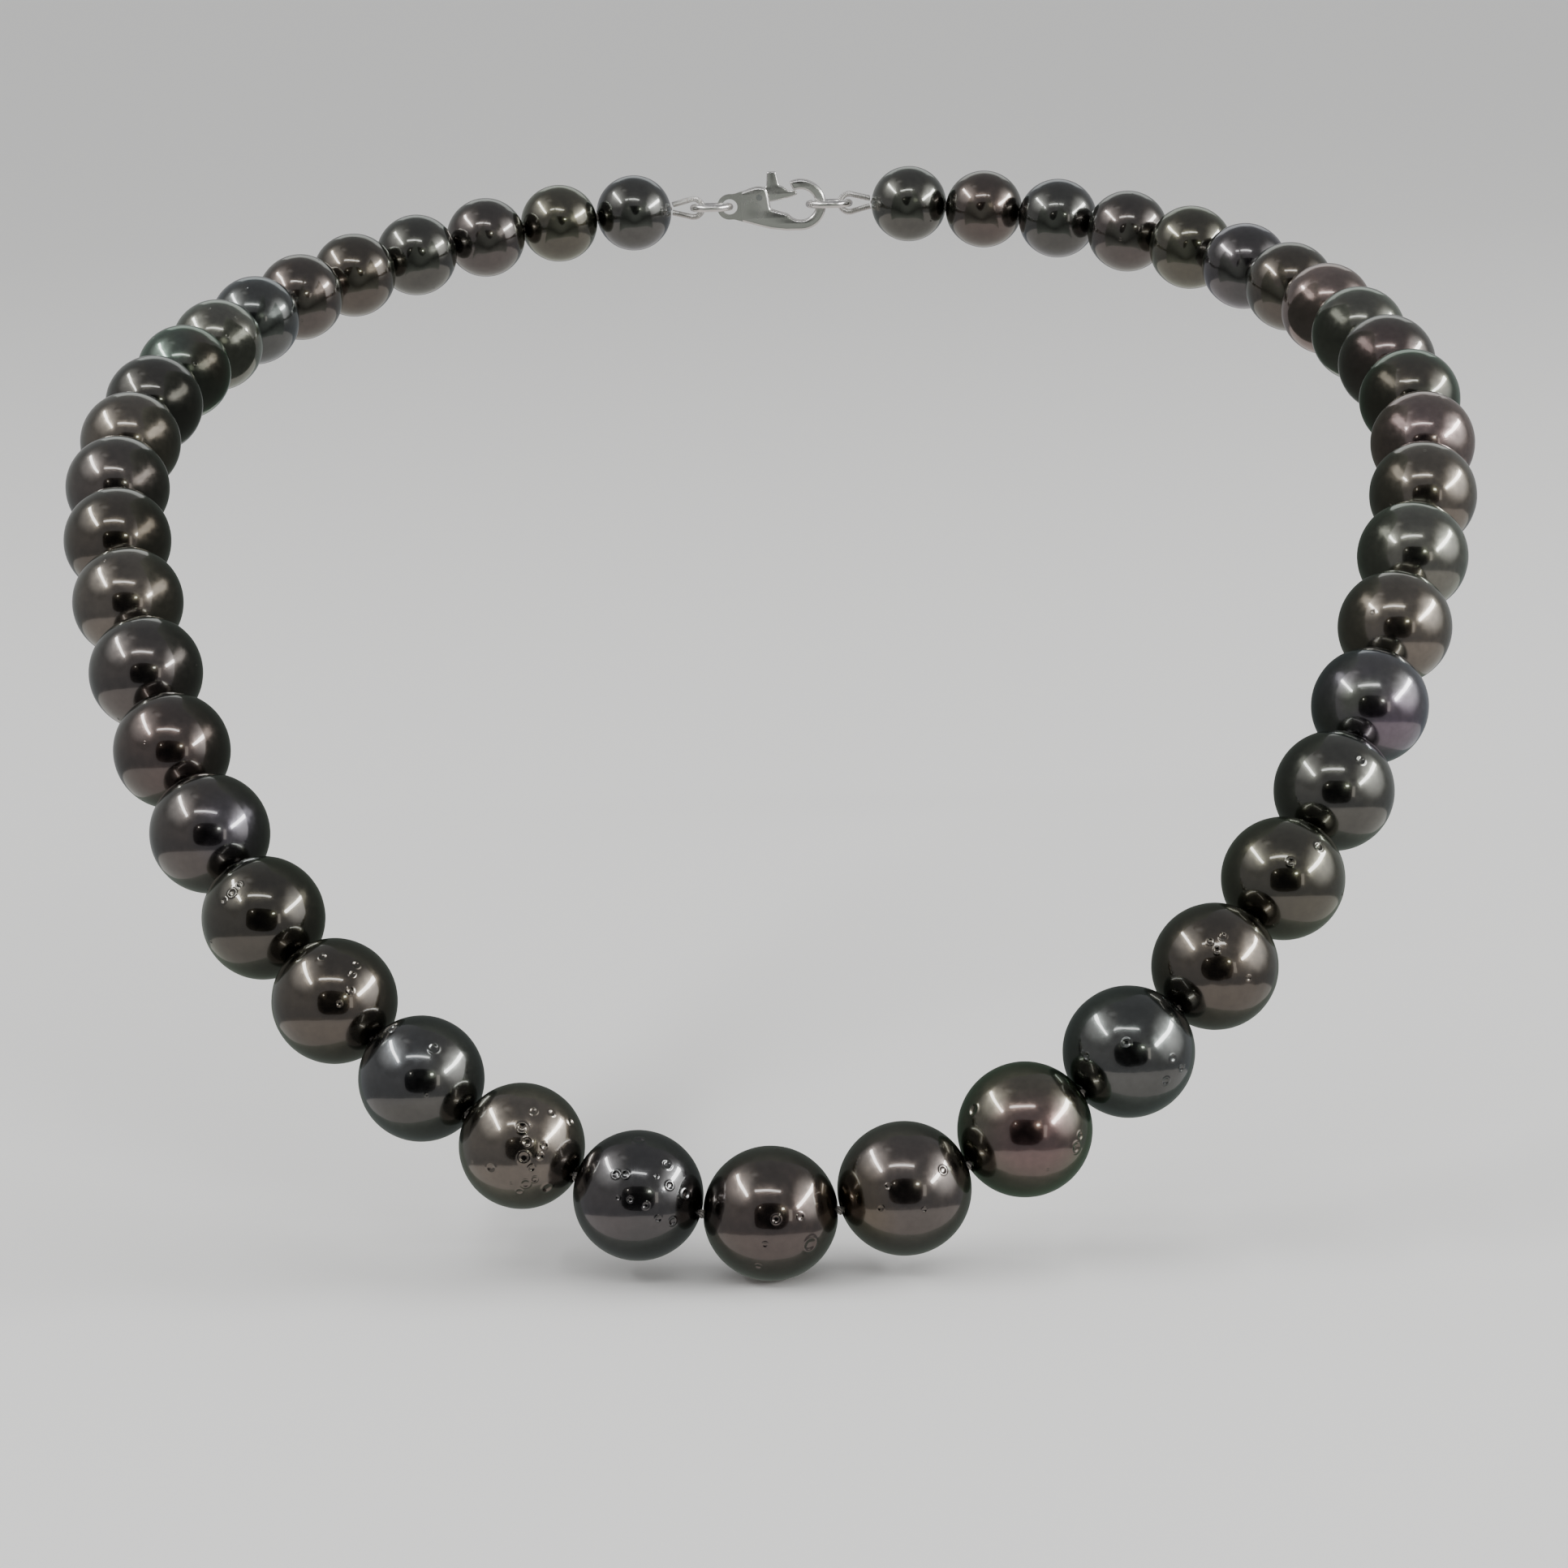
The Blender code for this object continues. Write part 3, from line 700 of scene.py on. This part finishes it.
def softened(outline, reach, step=0.00006):
    """A closed outline with rounded corners: evenly spaced points, each the mean of those within reach."""
    points = np.array(outline)
    lengths = np.linalg.norm(np.roll(points, -1, 0) - points, axis=1)
    ends = np.concatenate([[0], np.cumsum(lengths)])
    count = int(ends[-1] / step)
    along = np.arange(count) * ends[-1] / count
    closed = np.concatenate([points, points[:1]])
    even = np.stack([np.interp(along, ends, closed[:, axis]) for axis in (0, 1)], axis=1)
    span = int(reach / step)
    return sum(np.roll(even, shift, 0) for shift in range(-span, span + 1)) / (2 * span + 1)


def cushioned_plate(name, outline, thickness, edge, look):
    """A flat cast piece in the claw's plane, its edges rounded over by edge."""
    curve = bpy.data.curves.new(name, "CURVE")
    curve.dimensions = "2D"
    curve.fill_mode = "BOTH"
    curve.extrude = thickness / 2 - edge
    curve.bevel_depth = edge
    curve.bevel_resolution = 4
    curve.offset = -edge
    spline = curve.splines.new("POLY")
    spline.points.add(len(outline) - 1)
    spline.use_cyclic_u = True
    for place, (u, v) in enumerate(outline):
        spline.points[place].co = (u, v, 0, 1)
    helper = put(name, curve)
    mesh = evaluated_mesh(helper)
    bpy.data.objects.remove(helper, do_unlink=True)
    work = bmesh.new()
    work.from_mesh(mesh)
    bmesh.ops.remove_doubles(work, verts=work.verts, dist=0.000001)
    bmesh.ops.recalc_face_normals(work, faces=work.faces)
    work.to_mesh(mesh)
    work.free()
    mesh.transform(Matrix.Rotation(math.pi / 2, 4, "X"))
    mesh.materials.clear()
    mesh.materials.append(look)
    plate = put(name, mesh)
    mesh.shade_smooth()
    mesh.set_sharp_from_angle(angle=math.radians(45))
    return plate


def evaluated_mesh(obj):
    """A mesh of the object as it stands with its modifiers."""
    bpy.context.view_layer.update()
    graph = bpy.context.evaluated_depsgraph_get()
    return bpy.data.meshes.new_from_object(obj.evaluated_get(graph))


def cut(obj, cutter):
    """Takes the cutter's shape out of the object for good, and the cutter with it."""
    boolean = obj.modifiers.new("cut", "BOOLEAN")
    boolean.object = cutter
    done = evaluated_mesh(obj)
    obj.modifiers.clear()
    obj.data = done
    bpy.data.objects.remove(cutter, do_unlink=True)


def box(size, middle):
    work = bmesh.new()
    bmesh.ops.create_cube(work, size=1)
    bmesh.ops.scale(work, vec=size, verts=work.verts)
    bmesh.ops.translate(work, vec=middle, verts=work.verts)
    mesh = bpy.data.meshes.new("cutter")
    work.to_mesh(mesh)
    work.free()
    return put("cutter", mesh)


def finish_clasp(silver, steel):
    """The claw and its trigger as cushioned castings. The pin and spring keep their CAD shapes."""
    claw_edge = softened(claw_outline(), CLAW_ROUNDING)
    claw = cushioned_plate("claw_casting", claw_edge, CLAW_THICKNESS, CLAW_ROUNDING, silver)
    cheek = (EYE_THICKNESS + EYE_CUT_SIZE[1]) / 2
    cut(claw, box(SLOT_SIZE, SLOT_MIDDLE))
    cut(claw, box(EYE_CUT_SIZE, (EYE_CUT_U, -cheek, 0)))
    cut(claw, box(EYE_CUT_SIZE, (EYE_CUT_U, cheek, 0)))
    eye_hole = arc((0, 0), EYE_HOLE_RADIUS + DRILL_ROUNDING, 0, 350, 35)
    cut(claw, cushioned_plate("drill", eye_hole, DRILL_LENGTH, DRILL_ROUNDING, silver))
    lever_edge = softened(lever_outline(), LEVER_SOFTENING)
    lever = cushioned_plate("trigger_casting", lever_edge, LEVER_THICKNESS, LEVER_ROUNDING, silver)
    for piece, node, body in ((claw, "claw_body", "claw"), (lever, "trigger_lever", "trigger")):
        piece.matrix_world = clasp @ Matrix.Translation((claw_eye_u, 0, 0))
        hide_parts(node)
        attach(piece, body)
    for node in ("trigger_pin", "trigger_spring"):
        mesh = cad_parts[node].data
        mesh.materials.clear()
        mesh.materials.append(steel)


# The studio.


def glowing(name, colour, strength, painted=False):
    """A light's own material. Where it is painted, its strength also follows the corners' "glow".

    Weak ones are left to be found by reflections, which is less grainy than aiming at them.
    """
    made = bpy.data.materials.new(name)
    made.use_nodes = True
    tree = made.node_tree
    tree.nodes.clear()
    glow = add_node(tree, "ShaderNodeEmission", Color=(*colour, 1), Strength=strength)
    if painted:
        paint = tree.nodes.new("ShaderNodeAttribute")
        paint.attribute_name = "glow"
        power = tree.nodes.new("ShaderNodeMath")
        power.operation = "MULTIPLY"
        power.inputs[1].default_value = strength
        tree.links.new(paint.outputs["Fac"], power.inputs[0])
        tree.links.new(power.outputs[0], glow.inputs["Strength"])
    out = tree.nodes.new("ShaderNodeOutputMaterial")
    tree.links.new(glow.outputs[0], out.inputs["Surface"])
    if strength <= WEAK_LIGHT:
        made.cycles.emission_sampling = "NONE"
    return made


def studio_point(way, distance):
    right, up, back = way
    return front_centre + distance * Vector(right * view_right + up * view_up + back * view_back)


def light_strip(name, start, end, width, strength, colour=(1, 1, 1)):
    """A long soft light between two directions, turned to face the front pearl."""
    first = studio_point(start, STUDIO_DISTANCE)
    last = studio_point(end, STUDIO_DISTANCE)
    middle = (first + last) / 2
    facing = (front_centre - middle).normalized()
    across = (last - first).cross(facing).normalized() * width * STUDIO_DISTANCE / 2
    mesh = bpy.data.meshes.new(name)
    corners = [first - across, last - across, last + across, first + across]
    mesh.from_pydata(corners, [], [(0, 1, 2, 3)])
    mesh.materials.append(glowing(name, colour, strength))
    strip = put(name, mesh)
    strip.visible_camera = False
    strip.visible_shadow = False


def soft_panel(name, start, end, width, strength):
    """A wide light between two directions that fades into the room towards its edges."""
    first = studio_point(start, PANEL_DISTANCE)
    last = studio_point(end, PANEL_DISTANCE)
    facing = (front_centre - (first + last) / 2).normalized()
    across = (last - first).cross(facing).normalized() * width * PANEL_DISTANCE
    work = bmesh.new()
    bmesh.ops.create_grid(work, x_segments=16, y_segments=16, size=0.5)
    mesh = bpy.data.meshes.new(name)
    work.to_mesh(mesh)
    work.free()
    glow = mesh.attributes.new("glow", "FLOAT", "POINT")
    for place, corner in enumerate(mesh.vertices):
        x, y = corner.co.x, corner.co.y
        fade = max(0, 1 - 4 * (x**2 + y**2)) ** 2
        glow.data[place].value = ROOM_GLOW + strength * fade
        corner.co = (first + last) / 2 + (last - first) * x + across * y
    mesh.materials.append(glowing(name, (1, 0.98, 0.97), 1.0, painted=True))
    panel = put(name, mesh)
    panel.visible_camera = False
    panel.visible_shadow = False


def black_flag(name, centre, size):
    """A dark card that only reflections show, where a photographer would stand."""
    middle = studio_point(centre, PANEL_DISTANCE)
    mesh = bpy.data.meshes.new(name)
    places = []
    for step in range(48):
        turn = 2 * math.pi * step / 48
        x, y = (math.copysign(abs(part) ** 0.6, part) / 2 for part in (math.cos(turn), math.sin(turn)))
        places.append(middle + Vector(view_right * x * size[0] + view_up * y * size[1]))
    mesh.from_pydata(places, [], [range(48)])
    mesh.materials.append(glowing(name, (0.5, 0.5, 0.55), 0.03))
    reflected_only(put(name, mesh))


def reflected_only(obj):
    for ray in ("camera", "diffuse", "shadow", "transmission", "volume_scatter"):
        setattr(obj, f"visible_{ray}", False)


def velvet_form(centres, radii, bores):
    """The dark form behind the front of the strand. Only reflections show it, as the pearls' dark rims."""
    work = bmesh.new()
    grid = []
    for out, up, _ in FORM_ROWS:
        ring = []
        for centre, radius, bore in zip(centres, radii, bores):
            outward = unit((bore[1], -bore[0], 0))
            place = centre + outward * (out - FORM_GAP * radius) + np.array((0, 0, up))
            ring.append(work.verts.new(place))
        grid.append(ring)
    for upper, lower in zip(grid, grid[1:]):
        for j in range(len(centres) - 1):
            work.faces.new((upper[j], lower[j], lower[j + 1], upper[j + 1]))
    mesh = bpy.data.meshes.new("velvet_form")
    work.to_mesh(mesh)
    work.free()
    # The glow paints lit velvet for the reflections, with painted shade darkest in the rows beside the
    # pearls.
    glow = mesh.attributes.new("glow", "FLOAT", "POINT")
    glow.data.foreach_set("value", [row[2] for row in FORM_ROWS for _ in centres])
    mesh.materials.append(glowing("velvet", (0.94, 1.0, 0.91), 1.0, painted=True))
    reflected_only(put("velvet_form", mesh))


def floor_below(height):
    mesh = bpy.data.meshes.new("floor")
    corners = [(x * FLOOR_REACH, y * FLOOR_REACH, height) for x, y in ((-1, -1), (1, -1), (1, 1), (-1, 1))]
    mesh.from_pydata(corners, [], [(0, 1, 2, 3)])
    made, _, shader = new_material("floor")
    shader.inputs["Base Color"].default_value = FLOOR_COLOUR
    shader.inputs["Roughness"].default_value = 0.9
    shader.inputs["Specular IOR Level"].default_value = 0.1
    mesh.materials.append(made)
    floor = put("floor", mesh)
    floor.visible_glossy = False


def studio_world():
    """Soft pale light all round. Reflections see a dimmer room above, and a lit table below."""
    world = bpy.data.worlds.new("studio")
    bpy.context.scene.world = world
    world.cycles.sampling_method = "NONE"
    world.use_nodes = True
    tree = world.node_tree
    tree.nodes.clear()
    way = tree.nodes.new("ShaderNodeTexCoord").outputs["Generated"]
    parts = tree.nodes.new("ShaderNodeSeparateXYZ")
    tree.links.new(way, parts.inputs[0])
    rise = between(tree, parts.outputs["Z"], -1, 1, 0, 1)
    room = ramp(tree, rise, ROOM_RAMP)
    rays = tree.nodes.new("ShaderNodeLightPath")
    sky = mixed(tree, rays.outputs["Is Camera Ray"], SKY_COLOUR, HORIZON_COLOUR)
    seen = add_node(tree, "ShaderNodeBackground", Color=sky, Strength=SKY_STRENGTH)
    reflected = add_node(tree, "ShaderNodeBackground", Color=room, Strength=1.0)
    choice = tree.nodes.new("ShaderNodeMixShader")
    tree.links.new(rays.outputs["Is Glossy Ray"], choice.inputs[0])
    tree.links.new(seen.outputs[0], choice.inputs[1])
    tree.links.new(reflected.outputs[0], choice.inputs[2])
    out = tree.nodes.new("ShaderNodeOutputWorld")
    tree.links.new(choice.outputs[0], out.inputs["Surface"])


def make_camera():
    data = bpy.data.cameras.new("camera")
    data.lens = CAMERA_LENS
    data.sensor_width = 36
    data.clip_start = 0.01
    camera = put("camera", data)
    camera.matrix_world = Matrix.Translation(CAMERA_PLACE) @ Matrix(camera_axes()).transposed().to_4x4()
    bpy.context.scene.camera = camera


view_right, view_up, view_back = (np.array(axis) for axis in camera_axes())
strand = strand_names()
middles, radii = zip(*(centre_and_radius(name) for name in strand))
bores = bore_directions(middles)
front_index = strand.index("pearl_front")
front_centre = Vector(middles[front_index])
tones = list(reversed(LEFT_TONES)) + ["aubergine"] + list(RIGHT_TONES)

for place, pearl_name in enumerate(strand):
    make_pearl(pearl_name, middles[place], radii[place], bores[place], 100 + place, tones[place])

silk = silk_material()
silver = metal("silver", (0.88, 0.87, 0.85), 0.22, 0.08)
french_wire = metal("french_wire", (0.80, 0.79, 0.77), 0.28, 0.10)
steel = metal("steel", (0.56, 0.57, 0.58), 0.30, 0.20)
string_silk(strand, middles, radii, bores, silk)

clasp, clasp_span = clasp_frame(middles, radii, bores)
hook_end_u = HOOK_CENTRE_U + HOOK_INNER_RADIUS - TAIL_RING_CLEARANCE - RING_WIRE_RADIUS
links_length = 2 * JUMP_RING_RADIUS + hook_end_u + 2 * TAIL_RING_RADIUS
left_ring_u = -links_length / 2
right_ring_u = links_length / 2
claw_eye_u = left_ring_u + 2 * JUMP_RING_RADIUS
make_gimp("gimp_left", -clasp_span / 2, left_ring_u, "pearl_left_22", french_wire, silk)
make_gimp("gimp_right", clasp_span / 2, right_ring_u, "gimp_right", french_wire, silk)
make_ring("jump_ring", JUMP_RING_RADIUS, left_ring_u + JUMP_RING_RADIUS, "jump_ring", silver)
make_ring("tail_ring", TAIL_RING_RADIUS, right_ring_u - TAIL_RING_RADIUS, "tail_ring", silver)
finish_clasp(silver, steel)

studio_world()
floor_below(cad_box[0][2] - FLOOR_GAP)
covered = slice(front_index - FORM_REACH, front_index + FORM_REACH + 1)
velvet_form(middles[covered], radii[covered], bores[covered])
light_strip("strip_left", (-0.648, 0.737, -0.193), (-0.61, 0.503, 0.612), 0.06, 22)
light_strip("strip_top", (-0.416, 0.651, 0.634), (0.267, 0.664, 0.70), 0.06, 9)
light_strip("strip_right", (0.815, 0.539, -0.214), (0.712, 0.219, 0.667), 0.09, 26)
soft_panel("panel_right", (1.02, 0.72, -0.60), (0.86, 0.02, 0.95), 1.30, 2.0)
soft_panel("panel_left", (-0.70, 0.88, -0.55), (-0.62, 0.36, 0.95), 1.00, 1.0)
soft_panel("wall_patch", (-0.50, 0.88, 0.02), (-0.26, 0.93, 0.30), 0.22, 0.5)
light_strip("window", (0.33, 0.20, 0.92), (0.41, 0.20, 0.90), 0.05, 22, colour=(0.95, 1.0, 0.85))
light_strip("doorway", (0.57, 0.18, 0.84), (0.57, -0.16, 0.84), 0.10, 1.5, colour=(1.0, 0.93, 0.86))
light_strip("lamp", (-0.31, 0.23, 0.93), (-0.28, 0.23, 0.93), 0.03, 14, colour=(1.0, 0.95, 0.85))
light_strip("strip_back", (-0.35, 0.70, -0.80), (0.45, 0.70, -0.80), 0.30, 1.0)
black_flag("camera_flag", (0.03, -0.02, 1.0), (1.45, 1.05))
make_camera()
